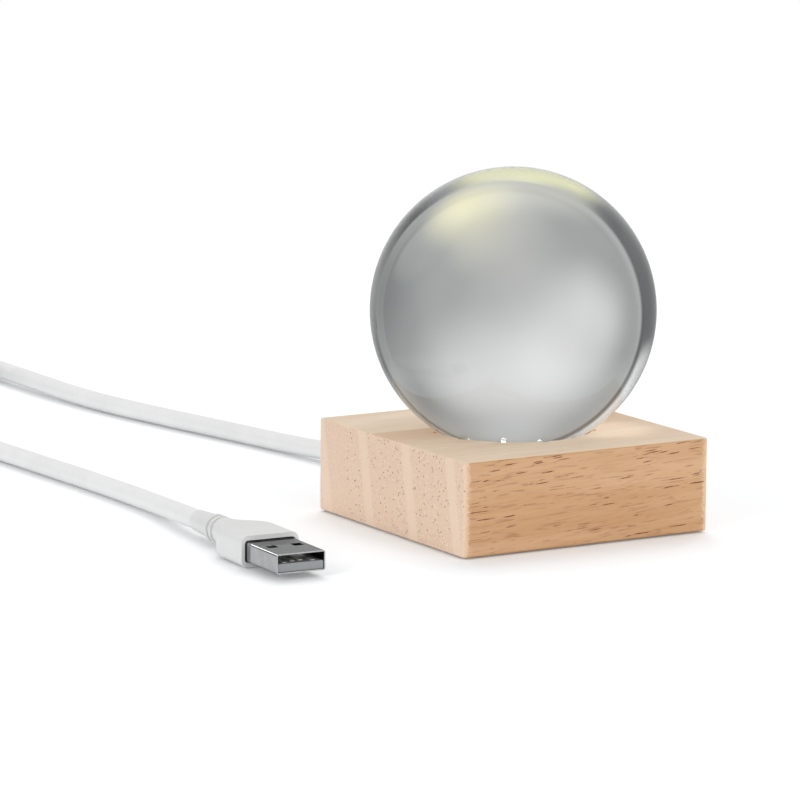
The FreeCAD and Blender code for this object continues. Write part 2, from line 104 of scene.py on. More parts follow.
class Nodes:
    """Adds nodes to one node tree. Each call returns the new node's output socket."""

    SPOT_CORE = 0.4

    def __init__(self, tree):
        self.tree = tree

    def add(self, kind, inputs, output=0, **settings):
        node = self.tree.nodes.new("ShaderNode" + kind)
        for name, value in settings.items():
            setattr(node, name, value)
        for key, value in inputs.items():
            self.put(node.inputs[key], value)
        return node.outputs[output]

    def put(self, socket, value):
        """Links another socket to this one, or sets a plain value."""
        if isinstance(value, bpy.types.NodeSocket):
            self.tree.links.new(value, socket)
        else:
            socket.default_value = value

    def math(self, operation, *values):
        return self.add("Math", dict(enumerate(values)), operation=operation)

    def times(self, first, second):
        return self.math("MULTIPLY", first, second)

    def vector(self, operation, *values, output=0):
        return self.add("VectorMath", dict(enumerate(values)), output=output, operation=operation)

    def step(self, value, low, high, start=0.0, end=1.0):
        """Smooth change from start to end as value goes from low to high."""
        return self.add("MapRange", {0: value, 1: low, 2: high, 3: start, 4: end},
                        interpolation_type="SMOOTHSTEP")

    def fall(self, value, low, high):
        """Smooth change from 1 to 0 as value goes from low to high."""
        return self.step(value, low, high, 1.0, 0.0)

    def mix(self, share, first, second):
        """Colour that goes from the first to the second with share."""
        colors = [rgba(color) if isinstance(color, tuple) else color for color in (first, second)]
        return self.add("Mix", {0: share, 6: colors[0], 7: colors[1]}, output=2, data_type="RGBA")

    def noise(self, vector, scale, detail=2.0):
        return self.add("TexNoise", {"Vector": vector, "Scale": scale, "Detail": detail})

    def stretched_noise(self, vector, scales, detail=2.0):
        """Noise with its own scale along each axis."""
        return self.noise(self.stretched(vector, scales), 1.0, detail)

    def cells(self, vector):
        """Distance to the nearest of many scattered points, and that point's own random number."""
        points = self.tree.nodes.new("ShaderNodeTexVoronoi")
        points.inputs["Scale"].default_value = 1.0
        self.put(points.inputs["Vector"], vector)
        chance = self.add("TexWhiteNoise", {"Vector": points.outputs["Color"]})
        return points.outputs["Distance"], chance

    def spots(self, distance, reach):
        """Soft round spots of a given reach about scattered points."""
        return self.fall(distance, self.times(reach, self.SPOT_CORE), reach)

    def parts(self, vector):
        """X, Y and Z of a vector."""
        split = self.tree.nodes.new("ShaderNodeSeparateXYZ")
        self.put(split.inputs[0], vector)
        return split.outputs

    def millimetres(self):
        """Place on the piece, in millimetres."""
        place = self.add("TexCoord", {}, output="Object")
        return self.stretched(place, (1 / MM, 1 / MM, 1 / MM))

    def stretched(self, vector, scales):
        return self.vector("MULTIPLY", vector, scales)

    def bump(self, height, depth_mm, strength=1.0):
        return self.add("Bump", {"Height": height, "Distance": depth_mm * MM, "Strength": strength})


def new_material(name, roughness, metallic=0.0):
    """Material with its shader and a helper for its nodes."""
    material = bpy.data.materials.new(name)
    material.use_nodes = True
    shader = material.node_tree.nodes["Principled BSDF"]
    shader.inputs["Roughness"].default_value = roughness
    shader.inputs["Metallic"].default_value = metallic
    return material, shader, Nodes(material.node_tree)


# Most values of a noise lie in this range
NOISE_RANGE = (0.3, 0.7)

# Detail of noise that is finer or smoother than usual
FINE_DETAIL = 3.0
SMOOTH_DETAIL = 1.0

# Clouds per millimetre, and how far the gloss varies about a material's roughness
MOULDED_CLOUD_SCALE = 0.12
MOULDED_GLOSS = (-0.05, 0.06)
METAL_CLOUD_SCALE = 0.5
METAL_CLOUD_RANGE = (0.35, 0.65)
METAL_CLOUD_SHADE = 0.9
METAL_GLOSS = (-0.06, 0.08)


def moulded(name, color, roughness, grain_mm, grain_depth_mm, tint):
    """Moulded plastic or rubber: faint clouding, a fine surface grain and uneven gloss."""
    material, shader, made = new_material(name, roughness)
    place = made.millimetres()
    cloud = made.noise(place, MOULDED_CLOUD_SCALE, FINE_DETAIL)
    grain = made.noise(place, 1.0 / grain_mm)
    darker = tuple(channel * (1 - tint) for channel in color)
    lighter = tuple(min(channel * (1 + tint), 1.0) for channel in color)
    gloss = [roughness + change for change in MOULDED_GLOSS]
    made.put(shader.inputs["Base Color"], made.mix(made.step(cloud, *NOISE_RANGE), darker, lighter))
    made.put(shader.inputs["Roughness"], made.step(grain, *NOISE_RANGE, *gloss))
    made.put(shader.inputs["Normal"], made.bump(grain, grain_depth_mm))
    return material


def metal(name, color, roughness, mark_scale, mark_depth_mm, edge_tint, metallic):
    """Metal with fine marks, long where it is drawn, faint clouding and uneven gloss."""
    material, shader, made = new_material(name, roughness, metallic)
    shader.inputs["Specular Tint"].default_value = rgba((edge_tint, edge_tint, edge_tint))
    place = made.millimetres()
    marks = made.stretched_noise(place, mark_scale, FINE_DETAIL)
    cloud = made.noise(place, METAL_CLOUD_SCALE)
    darker = tuple(channel * METAL_CLOUD_SHADE for channel in color)
    gloss = [roughness + change for change in METAL_GLOSS]
    made.put(shader.inputs["Base Color"], made.mix(made.step(cloud, *METAL_CLOUD_RANGE), darker, color))
    made.put(shader.inputs["Roughness"], made.step(marks, *NOISE_RANGE, *gloss))
    made.put(shader.inputs["Normal"], made.bump(marks, mark_depth_mm))
    return material


# Wood: how far a face turns towards an end, towards the top or over a rounded long edge
END_FACING = (0.70, 0.92)
END_RAGGED = 0.3
TOP_FACING = (0.55, 0.90)
EDGE_START = (0.10, 0.30)
EDGE_END = (0.75, 0.95)

# Wood: frayed corners, grain and growth rings, in millimetres. GRAIN_RISE and RING_LEAN are slopes
FRAY_REACH = (0.65, 1.95)
FRAY_RAGGED = 2.5
GRAIN_RISE = 0.065
GRAIN_WAVER = 0.7
RING_SPACING = 19.5
RING_PLACE = 11.3
RING_LEAN = 0.19
RING_RAGGED = 0.8
BLOCK_MIDDLE = 11.3
BAND_REACH = (1.3, 2.6)
TAN_START = (-20.0, 3.0)
TAN_END = (4.2, 5.4)
LAST_PORES = (17.0, 20.0)
# Reach along X over which the top darkens, a painted shadow of the ball
TOP_PAINTED_SHADOW_REACH = (0.0, 30.0)

# Wood: marks per millimetre, along X, Y and Z
RAGGED_SCALE = 1.6
WAVER_SCALE = (0.12, 0.5, 0.5)
FIBRE_SCALE = (0.06, 1.6, 1.6)
TONE_SCALE = (0.012, 0.16, 0.22)
LINE_SCALE = (0.11, 2.3, 2.3)
STREAK_SCALE = (0.06, 2.4, 2.4)
DOT_SCALE = (0.4, 1.25, 1.4)

# Wood: colours, as pairs where they vary, with the share of each that lies over another
LONG_COLORS = ((0.585, 0.330, 0.160), (0.675, 0.415, 0.235))
LONG_FIBRE_COLOR = (0.50, 0.25, 0.11)
LONG_FIBRE_RANGE = (0.48, 0.72)
LONG_FIBRE_SHARE = 0.30
# Darker colour on the rounded long edges is painted shade
EDGE_PAINTED_SHADE_COLOR = (0.50, 0.28, 0.10)
EDGE_PAINTED_SHADE_SHARE = 0.5
# The top's colours are painted paler than the long faces', as painted light and sheen over the wood's tone
TOP_TONE_AND_PAINTED_LIGHT_COLORS = ((0.76, 0.58, 0.415), (0.82, 0.67, 0.515))
# Darker colour towards the top's +X end is a painted shadow of the ball
TOP_PAINTED_SHADOW_COLOR = (0.66, 0.50, 0.36)
TOP_PAINTED_SHADOW_SHARE = 0.45
TAN_COLOR = (0.67, 0.45, 0.28)
TAN_SHARE = 0.85
# The end grain's colours are partly its own and partly painted light, which makes them paler than the long
# faces
END_GRAIN_AND_PAINTED_LIGHT_COLORS = ((0.76, 0.55, 0.41), (0.82, 0.62, 0.47))
END_FIBRE_RANGE = (0.35, 0.65)
BAND_COLOR = (0.88, 0.70, 0.55)
BAND_SHARE = 0.5
FRAY_COLOR = (0.80, 0.60, 0.42)
FRAY_SHARE = 0.75
STREAK_COLOR = (0.20, 0.045, 0.010)
DOT_COLOR = (0.28, 0.15, 0.09)
DUST_COLOR = (0.92, 0.80, 0.68)

# Wood: pores, by the random number or noise that picks them, their reach and how strongly they show
LINE_RANGE = (0.55, 0.74)
LINE_DEPTH = 0.32
STREAK_CHANCE = (0.45, 0.95)
STREAK_REACH = 0.20
STREAK_REACH_GAIN = 0.24
STREAK_RAGGED_RANGE = (0.2, 0.8)
STREAK_RAGGED = (-0.07, 0.07)
STREAK_LOST_ON_TOP = 0.8
DOT_REACH = 0.40
DOT_CHANCE = (0.50, 0.95)
DOT_DEPTH = 0.9
DUST_CHANCE = (0.45, 0.10)
DUST_DEPTH = 0.6

# Wood: surface
WOOD_ROUGHNESS = (0.42, 0.58)
FIBRE_RELIEF = 0.5
WOOD_RELIEF_DEPTH = 0.06
WOOD_RELIEF_STRENGTH = 0.6


def wood_faces(made, place, ragged):
    """Shares of the end grain, the top, the rounded edges and the corners that frayed fibres make pale."""
    facing = made.parts(made.add("NewGeometry", {}, output="Normal"))
    sideways = made.math("ADD", made.math("ABSOLUTE", facing[0]), made.times(ragged, END_RAGGED))
    upright = made.math("ABSOLUTE", facing[2])
    block_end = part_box("wood_base")[1].x / MM
    to_corner = made.math("SUBTRACT", block_end, made.math("ABSOLUTE", made.parts(place)[0]))
    fringe = made.times(made.math("SUBTRACT", ragged, 0.5), FRAY_RAGGED)
    return {
        "end_grain": made.step(sideways, *END_FACING),
        "top": made.step(facing[2], *TOP_FACING),
        "edge": made.times(made.step(upright, *EDGE_START), made.fall(upright, *EDGE_END)),
        "fray": made.fall(made.math("ADD", to_corner, fringe), *FRAY_REACH),
    }


def wood_rings(made, place, ragged):
    """Shares of the growth rings' pale bands, which have no pores, of a tan zone and of the porous wood."""
    across, height = made.parts(place)[1:]
    ring_place = made.math("SUBTRACT", across, made.times(height, RING_LEAN))
    from_first = made.math("SUBTRACT", ring_place, RING_PLACE - RING_LEAN * BLOCK_MIDDLE)
    ring = made.math("DIVIDE", made.math("ADD", from_first, made.times(ragged, RING_RAGGED)), RING_SPACING)
    from_band = made.times(made.math("PINGPONG", ring, 0.5), RING_SPACING)
    band = made.fall(from_band, *BAND_REACH)
    return {
        "band": band,
        "tan": made.times(made.step(ring_place, *TAN_START), made.fall(ring_place, *TAN_END)),
        "porous": made.times(made.math("SUBTRACT", 1.0, band), made.fall(ring_place, *LAST_PORES)),
    }


def wood_grain(made, place):
    """Place in the grain, which rises slightly towards +X and wavers."""
    along, across, height = made.parts(place)
    waver = made.times(made.stretched_noise(place, WAVER_SCALE, SMOOTH_DETAIL), GRAIN_WAVER)
    rise = made.math("SUBTRACT", waver, made.times(along, GRAIN_RISE))
    return made.add("CombineXYZ", {0: along, 1: made.math("ADD", across, rise),
                                   2: made.math("ADD", height, rise)})


def wood_color(made, place, grain_place, fibres, shares):
    """Colours of the long faces, the top and the end grain, before any pores, with painted light and shade.
    """
    along = made.parts(place)[0]
    tone = made.step(made.stretched_noise(grain_place, TONE_SCALE), *NOISE_RANGE)
    long_color = made.mix(tone, *LONG_COLORS)
    long_fibre = made.step(fibres, *LONG_FIBRE_RANGE, 0.0, LONG_FIBRE_SHARE)
    long_color = made.mix(long_fibre, long_color, LONG_FIBRE_COLOR)
    # Painted shade on the rounded long edges
    long_color = made.mix(made.times(shares["edge"], EDGE_PAINTED_SHADE_SHARE), long_color, EDGE_PAINTED_SHADE_COLOR)
    # Painted light and sheen: the top is paler than the long faces
    top_color = made.mix(tone, *TOP_TONE_AND_PAINTED_LIGHT_COLORS)
    # Painted shadow of the ball: the top darkens towards +X
    top_painted_shadow = made.step(along, *TOP_PAINTED_SHADOW_REACH, 0.0, TOP_PAINTED_SHADOW_SHARE)
    top_color = made.mix(top_painted_shadow, top_color, TOP_PAINTED_SHADOW_COLOR)
    top_color = made.mix(made.times(shares["tan"], TAN_SHARE), top_color, TAN_COLOR)
    # End grain colour, partly painted light
    end_color = made.mix(made.step(fibres, *END_FIBRE_RANGE), *END_GRAIN_AND_PAINTED_LIGHT_COLORS)
    end_color = made.mix(made.times(shares["band"], BAND_SHARE), end_color, BAND_COLOR)
    color = made.mix(made.times(shares["fray"], FRAY_SHARE), long_color, FRAY_COLOR)
    color = made.mix(shares["top"], color, top_color)
    return made.mix(shares["end_grain"], color, end_color)


def wood_streaks(made, grain_place, ragged, shares):
    """Pores along the grain: many faint lines and fewer deep streaks, which the top shows least."""
    lines = made.stretched_noise(grain_place, LINE_SCALE, SMOOTH_DETAIL)
    faint = made.step(lines, *LINE_RANGE, 0.0, LINE_DEPTH)
    distance, chance = made.cells(made.stretched(grain_place, STREAK_SCALE))
    rough_distance = made.math("ADD", distance, made.step(ragged, *STREAK_RAGGED_RANGE, *STREAK_RAGGED))
    likely = made.step(chance, *STREAK_CHANCE)
    reach = made.math("ADD", STREAK_REACH, made.times(likely, STREAK_REACH_GAIN))
    deep = made.times(made.spots(rough_distance, reach), likely)
    lost = made.math("MAXIMUM", made.times(shares["top"], STREAK_LOST_ON_TOP), shares["fray"])
    return made.times(made.math("MAXIMUM", faint, deep), made.math("SUBTRACT", 1.0, lost))


def wood_dots(made, place, shares):
    """Pores cut across, dark or filled with pale dust."""
    distance, chance = made.cells(made.stretched(place, DOT_SCALE))
    speck = made.times(made.spots(distance, DOT_REACH), shares["porous"])
    dot = made.times(speck, made.step(chance, *DOT_CHANCE, 0.0, DOT_DEPTH))
    dust = made.times(speck, made.step(chance, *DUST_CHANCE, 0.0, DUST_DEPTH))
    return dot, made.times(dust, shares["end_grain"])


def wood():
    """Oiled solid wood, grain along X: pores are streaks along the grain and dots across it."""
    material, shader, made = new_material("pale_wood", sum(WOOD_ROUGHNESS) / 2)
    place = made.millimetres()
    ragged = made.noise(place, RAGGED_SCALE)
    grain_place = wood_grain(made, place)
    fibres = made.stretched_noise(grain_place, FIBRE_SCALE, FINE_DETAIL)
    shares = wood_faces(made, place, ragged) | wood_rings(made, place, ragged)
    color = wood_color(made, place, grain_place, fibres, shares)
    streak = wood_streaks(made, grain_place, ragged, shares)
    dot, dust = wood_dots(made, place, shares)
    mark = made.add("Mix", {0: shares["end_grain"], 2: streak, 3: dot})
    color = made.mix(mark, color, made.mix(shares["end_grain"], STREAK_COLOR, DOT_COLOR))
    made.put(shader.inputs["Base Color"], made.mix(dust, color, DUST_COLOR))
    relief = made.math("SUBTRACT", made.times(fibres, FIBRE_RELIEF), mark)
    made.put(shader.inputs["Normal"], made.bump(relief, WOOD_RELIEF_DEPTH, WOOD_RELIEF_STRENGTH))
    made.put(shader.inputs["Roughness"], made.step(fibres, *NOISE_RANGE, *WOOD_ROUGHNESS))
    return material


GLASS_COLOR = (0.975, 0.985, 0.98)
GLASS_IOR = 1.5
GLASS_HAZE_SCALE = 0.09
GLASS_HAZE_RANGE = (0.45, 0.75)
GLASS_HAZE = 0.012


def glass():
    """Clear polished glass, with gloss that varies too little to blur what is seen through it."""
    material, shader, made = new_material("clear_glass", 0.0)
    shader.inputs["Base Color"].default_value = rgba(GLASS_COLOR)
    shader.inputs["Transmission Weight"].default_value = 1.0
    shader.inputs["IOR"].default_value = GLASS_IOR
    haze = made.noise(made.millimetres(), GLASS_HAZE_SCALE, FINE_DETAIL)
    made.put(shader.inputs["Roughness"], made.step(haze, *GLASS_HAZE_RANGE, 0.0, GLASS_HAZE))
    return material


# LEDs: colour and strength of their glow, and the bright ring on the board, in millimetres
LED_LIGHT = (0.98, 1.0, 0.93)
PHOSPHOR_COLORS = ((0.90, 0.70, 0.16), (0.98, 0.84, 0.30))
PHOSPHOR_ROUGHNESS = 0.35
PHOSPHOR_GRAIN_SCALE = 6.0
PHOSPHOR_GRAIN_DEPTH = 0.02
PHOSPHOR_GLOW = 8.0
GLOW_RING_RADIUS = 14.4
GLOW_RING_REACH = (0.8, 1.4)
BOARD_GLOW = (4.0, 0.2)


def make_glow(material, strength):
    """Gives a material the LEDs' glow."""
    shader = material.node_tree.nodes["Principled BSDF"]
    shader.inputs["Emission Color"].default_value = rgba(LED_LIGHT)
    Nodes(material.node_tree).put(shader.inputs["Emission Strength"], strength)


def phosphor():
    """Yellow silicone fill of an LED, lit from below."""
    material, shader, made = new_material("phosphor", PHOSPHOR_ROUGHNESS)
    grain = made.noise(made.millimetres(), PHOSPHOR_GRAIN_SCALE)
    made.put(shader.inputs["Base Color"], made.mix(grain, *PHOSPHOR_COLORS))
    made.put(shader.inputs["Normal"], made.bump(grain, PHOSPHOR_GRAIN_DEPTH))
    make_glow(material, PHOSPHOR_GLOW)
    return material


def light_board(material):
    """Lets the board glow with the LEDs' scattered light, most along their ring's outer side."""
    made = Nodes(material.node_tree)
    from_axis = made.vector("LENGTH", made.stretched(made.millimetres(), (1, 1, 0)), output="Value")
    from_ring = made.math("ABSOLUTE", made.math("SUBTRACT", from_axis, GLOW_RING_RADIUS))
    make_glow(material, made.step(from_ring, *GLOW_RING_REACH, *BOARD_GLOW))


# Plug's shell: its direction and, in millimetres, its size, how deep below its surface the painted shade
# inside begins, and where it ends at the mouth
PLUG_YAW = math.radians(-2.6)
PLUG_AXES = [(math.cos(PLUG_YAW), math.sin(PLUG_YAW), 0), (-math.sin(PLUG_YAW), math.cos(PLUG_YAW), 0),
             (0, 0, 1)]
SHELL_SIZE = (12.0, 24.2, 4.5)
SHELL_CORNER = 0.5
PAINTED_SHADE_DEPTH = (0.02, 0.08)
MOUTH_RIM = (0.40, 0.48)
# Near-black colour painted inside the shell and on its windows' cut edges, as painted shade
SHELL_INSIDE_PAINTED_SHADE_COLOR = (0.05, 0.05, 0.055)


def paint_shade_inside_shell(material):
    """Paints near-black shade on the metal inside the shell and on the cut edges of its windows."""
    shader = material.node_tree.nodes["Principled BSDF"]
    made = Nodes(material.node_tree)
    low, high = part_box("plug_shell")
    from_center = made.vector("SUBTRACT", made.millimetres(), tuple((low + high) / 2 / MM))
    across, along, height = [
        made.math("SUBTRACT",
                  made.math("ABSOLUTE", made.vector("DOT_PRODUCT", from_center, axis, output="Value")),
                  size / 2 - SHELL_CORNER)
        for axis, size in zip(PLUG_AXES, SHELL_SIZE)]
    past_corner = made.vector("MAXIMUM", made.add("CombineXYZ", {0: across, 1: height}), (0, 0, 0))
    depth = made.math("SUBTRACT", SHELL_CORNER, made.vector("LENGTH", past_corner, output="Value"))
    # Painted shade: inside the shell, fading out at its mouth
    inside = made.times(made.step(depth, *PAINTED_SHADE_DEPTH), made.fall(along, *MOUTH_RIM))
    metal_color = shader.inputs["Base Color"].links[0].from_socket
    made.put(shader.inputs["Base Color"], made.mix(inside, metal_color, SHELL_INSIDE_PAINTED_SHADE_COLOR))


STRAP_COLORS = ((0.02, 0.02, 0.022), (0.085, 0.085, 0.09))
STRAP_ROUGHNESS = 0.85
STRAP_SHEEN = 0.4
STRAP_THREAD_SPACING = 0.5
STRAP_WEAVE_SHARE = 0.5
STRAP_NAP_SCALE = 5.0
STRAP_HEIGHT_RANGE = (0.0, 1.1)
STRAP_RELIEF_DEPTH = 0.15


def woven_strap():
    """Hook and loop strap: crossed threads and a napped surface."""
    material, shader, made = new_material("band_strap", STRAP_ROUGHNESS)
    place = made.millimetres()
    axes = made.parts(place)
    thread = 2 * math.pi / STRAP_THREAD_SPACING
    warp = made.math("SINE", made.times(axes[0], thread))
    weft = made.math("SINE", made.times(made.math("ADD", axes[1], axes[2]), thread))
    nap = made.noise(place, STRAP_NAP_SCALE, FINE_DETAIL)
    height = made.math("ADD", made.times(made.times(warp, weft), STRAP_WEAVE_SHARE), nap)
    made.put(shader.inputs["Base Color"], made.mix(made.step(height, *STRAP_HEIGHT_RANGE), *STRAP_COLORS))
    made.put(shader.inputs["Normal"], made.bump(height, STRAP_RELIEF_DEPTH))
    shader.inputs["Sheen Weight"].default_value = STRAP_SHEEN
    return material


# Moulded slots: colour, roughness, grain size and depth in millimetres, strength of the clouding
MOULDED_SLOTS = {
    "white_board": ((0.86, 0.87, 0.86), 0.35, 0.50, 0.010, 0.03),
    "chip_ceramic": ((0.04, 0.04, 0.045), 0.30, 0.20, 0.010, 0.20),
    "red_wire": ((0.62, 0.03, 0.03), 0.40, 0.30, 0.010, 0.06),
    "black_wire": ((0.02, 0.02, 0.022), 0.40, 0.30, 0.010, 0.20),
    "white_jacket": ((0.80, 0.80, 0.795), 0.42, 0.35, 0.012, 0.02),
    "nylon_tie": ((0.82, 0.82, 0.80), 0.45, 0.30, 0.010, 0.06),
    "white_rubber": ((0.76, 0.76, 0.75), 0.60, 0.25, 0.015, 0.06),
    "cover_plastic": ((0.05, 0.05, 0.055), 0.55, 0.35, 0.050, 0.15),
    "foot_rubber": ((0.03, 0.03, 0.032), 0.75, 0.30, 0.030, 0.20),
    "led_plastic": ((0.90, 0.90, 0.88), 0.30, 0.30, 0.010, 0.03),
    "white_grip": ((0.71, 0.71, 0.705), 0.40, 0.22, 0.020, 0.02),
    "tongue_plastic": ((0.30, 0.31, 0.32), 0.45, 0.25, 0.015, 0.06),
}

# Metal slots: colour, roughness, marks per millimetre along X, Y and Z, their depth in millimetres, edge tint
# and metallic share
METAL_SLOTS = {
    "solder": ((0.72, 0.73, 0.75), 0.25, (2.0, 2.0, 2.0), 0.030, 1.0, 1.0),
    "screw_steel": ((0.55, 0.56, 0.58), 0.35, (3.0, 0.4, 3.0), 0.010, 1.0, 1.0),
    "shell_steel": ((0.47, 0.475, 0.48), 0.11, (5.0, 0.15, 5.0), 0.001, 0.55, 1.0),
    "contact_gold": ((0.94, 0.91, 0.82), 0.30, (5.0, 0.3, 5.0), 0.003, 1.0, 0.4),
}

materials = {"clear_glass": glass(), "pale_wood": wood(), "phosphor": phosphor(), "band_strap": woven_strap()}
materials |= {slot: moulded(slot, *values) for slot, values in MOULDED_SLOTS.items()}
materials |= {slot: metal(slot, *values) for slot, values in METAL_SLOTS.items()}
light_board(materials["white_board"])
paint_shade_inside_shell(materials["shell_steel"])


def dress(piece, slot):
    """Gives a piece the one material of its slot."""
    piece.data.materials.clear()
    piece.data.materials.append(materials[slot])


def dress_nodes():
    """Gives each node of the model the material of its slot in the record."""
    for subpart in frame["record"]["subparts"]:
        dress(nodes[subpart["node"]], subpart["material_slot"])


def coil_point(turn):
    """Point of the coil that spirals in on the table, climbs a layer and spirals out on top."""
    half = COIL_TURNS / 2
    radius = COIL_OUTER_RADIUS - COIL_PITCH * min(turn, COIL_TURNS - turn)
    climb = min(max((turn - half) / COIL_CLIMB_TURNS + 0.5, 0), 1)
    angle = 2 * math.pi * turn
    return (COIL_CENTER[0] + radius * math.cos(angle), COIL_CENTER[1] + radius * math.sin(angle),
            COIL_LOW_Z + COIL_LAYER_PITCH * climb)


def add_cord():
    """Lead from the block to the plug as one smooth curve, with the coil on its way."""
    coil_steps = int(COIL_TURNS * COIL_POINTS_PER_TURN)
    coil_points = [coil_point(step / COIL_POINTS_PER_TURN) for step in range(coil_steps + 1)]
    route = [Vector(point) * MM for point in LEAD_POINTS + coil_points + RETURN_POINTS]
    curve = bpy.data.curves.new("usb_lead", "CURVE")
    curve.dimensions = "3D"
    curve.bevel_depth = CORD_DIAMETER / 2
    curve.bevel_resolution = CORD_RESOLUTION
    curve.resolution_u = CORD_RESOLUTION
    curve.use_fill_caps = True
    spline = curve.splines.new("NURBS")
    spline.points.add(len(route) - 1)
    for control, point in zip(spline.points, route):
        control.co = (*point, 1.0)
    spline.order_u = 3
    spline.use_endpoint_u = True
    cord = bpy.data.objects.new("usb_lead", curve)
    scene.collection.objects.link(cord)
    dress(cord, "white_jacket")
    cord.visible_transmission = False
    cord.visible_glossy = False
    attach(cord, "base")
    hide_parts("cord_lead", "cord_coil", "cord_return")


def add_ball():
    """Finer ball than the model's, because facets would show in what the glass bends."""
    low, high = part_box("glass_ball")
    center = (low + high) / 2
    mesh = bpy.data.meshes.new("ball_of_glass")
    shape = bmesh.new()
    bmesh.ops.create_icosphere(shape, subdivisions=BALL_SUBDIVISIONS, radius=(high.z - low.z) / 2,
                               matrix=Matrix.Translation(center))
    shape.to_mesh(mesh)
    shape.free()
    mesh.polygons.foreach_set("use_smooth", [True] * len(mesh.polygons))
    ball = bpy.data.objects.new("ball_of_glass", mesh)
    scene.collection.objects.link(ball)
    dress(ball, "clear_glass")
    ball.visible_shadow = False
    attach(ball, "ball")
    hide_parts("glass_ball")


def limit_view_through_ball():
    """Lets the ball bend the studio, the board and the LEDs into view, but not the block, as in the photo."""
    for name, node in nodes.items():
        node.visible_transmission = name.startswith("led_")


# Soft patches of the studio that glass and metal show: direction, inner and outer reach, colour
STUDIO_SURROUND = (0.26, 0.27, 0.28)
STUDIO_PATCHES = [
    (in_view_axes(0, 0, -1), 1.0, 1.5, (0.80, 0.80, 0.80)),
    (in_view_axes(0, 0, -1), 0.15, 0.65, (0.08, 0.08, 0.08)),
    (in_view_axes(-1.0, -0.30, 0.40), 0.40, 0.70, (0.11, 0.11, 0.115)),
    (in_view_axes(1.0, -0.20, 0.22), 0.55, 0.85, (0.01, 0.01, 0.01)),
    (in_view_axes(-0.72, 0.66, 0.25), 0.35, 0.55, (0.90, 0.90, 0.90)),
    (in_view_axes(0, 0.90, 0.45), 0.30, 0.70, (0.60, 0.65, 0.68)),
    (in_view_axes(-0.10, -1.0, 0.30), 0.34, 0.62, (1.0, 1.0, 0.60)),
    (in_view_axes(0.10, 0.20, 1), 0.97, 1.06, (0.08, 0.08, 0.08)),
    (in_view_axes(0.10, 0.10, 1), 0.94, 1.0, (0.45, 0.46, 0.46)),
    (in_view_axes(0.135, 0.15, 1), 0.92, 0.99, (0.37, 0.38, 0.38)),
    (in_view_axes(0.80, -0.10, 0.60), 0.05, 0.58, (0.23, 0.24, 0.24)),
    (in_view_axes(0.55, 0.55, 0.63), 0.00, 0.34, (0.26, 0.27, 0.27)),
    (in_view_axes(0, 0.75, 0.70), 0.05, 0.36, (0.50, 0.52, 0.53)),
    (in_view_axes(-0.28, -0.68, 0.68), 0.00, 0.32, (0.56, 0.56, 0.52)),
    (in_view_axes(0.02, -0.27, 0.95), 0.00, 0.34, (0.48, 0.48, 0.47)),
    (in_view_axes(0.22, 0.36, 0.90), 0.00, 0.42, (0.63, 0.63, 0.63)),
    (in_view_axes(-0.14, 0.27, 0.95), 0.00, 0.58, (0.79, 0.79, 0.79)),
    (in_view_axes(-0.38, 0.04, 0.89), 0.00, 0.38, (0.71, 0.71, 0.71)),
    (in_view_axes(0.12, -0.66, 0.74), 0.00, 0.48, (0.74, 0.73, 0.66)),
    (in_view_axes(0.17, -0.36, 0.92), 0.00, 0.26, (0.57, 0.565, 0.50)),
    (in_view_axes(0.28, -0.58, 0.76), 0.00, 0.36, (0.93, 0.89, 0.62)),
]
AMBIENT = (0.58, 0.58, 0.58)


def light_studio_world():
    """White to the camera, an even grey for diffuse light, and soft patches for glass and metal."""
    world = bpy.data.worlds.new("studio")
    scene.world = world
    world.use_nodes = True
    made = Nodes(world.node_tree)
    way = made.add("TexCoord", {}, output="Generated")
    color = STUDIO_SURROUND
    for center, inner, outer, patch_color in STUDIO_PATCHES:
        apart = made.vector("DISTANCE", way, tuple(center), output="Value")
        color = made.mix(made.fall(apart, inner, outer), color, patch_color)
    ray = made.tree.nodes.new("ShaderNodeLightPath")
    color = made.mix(ray.outputs["Is Diffuse Ray"], color, AMBIENT)
    color = made.mix(ray.outputs["Is Camera Ray"], color, WHITE)
    made.put(world.node_tree.nodes["Background"].inputs["Color"], color)


FLOOR_DROP = 0.0002
FLOOR_HALF = 6.0
FLOOR_COLORS = ((0.89, 0.905, 0.92), (0.91, 0.925, 0.94))
FLOOR_ROUGHNESS = 0.9
FLOOR_CLOUD_SCALE = 3.0
FLOOR_GLOW = 0.10
FLOOR_LIT_REACH = (0.25, 0.70)
FLOOR_GLOSS_REACH = (0.05, 0.12)


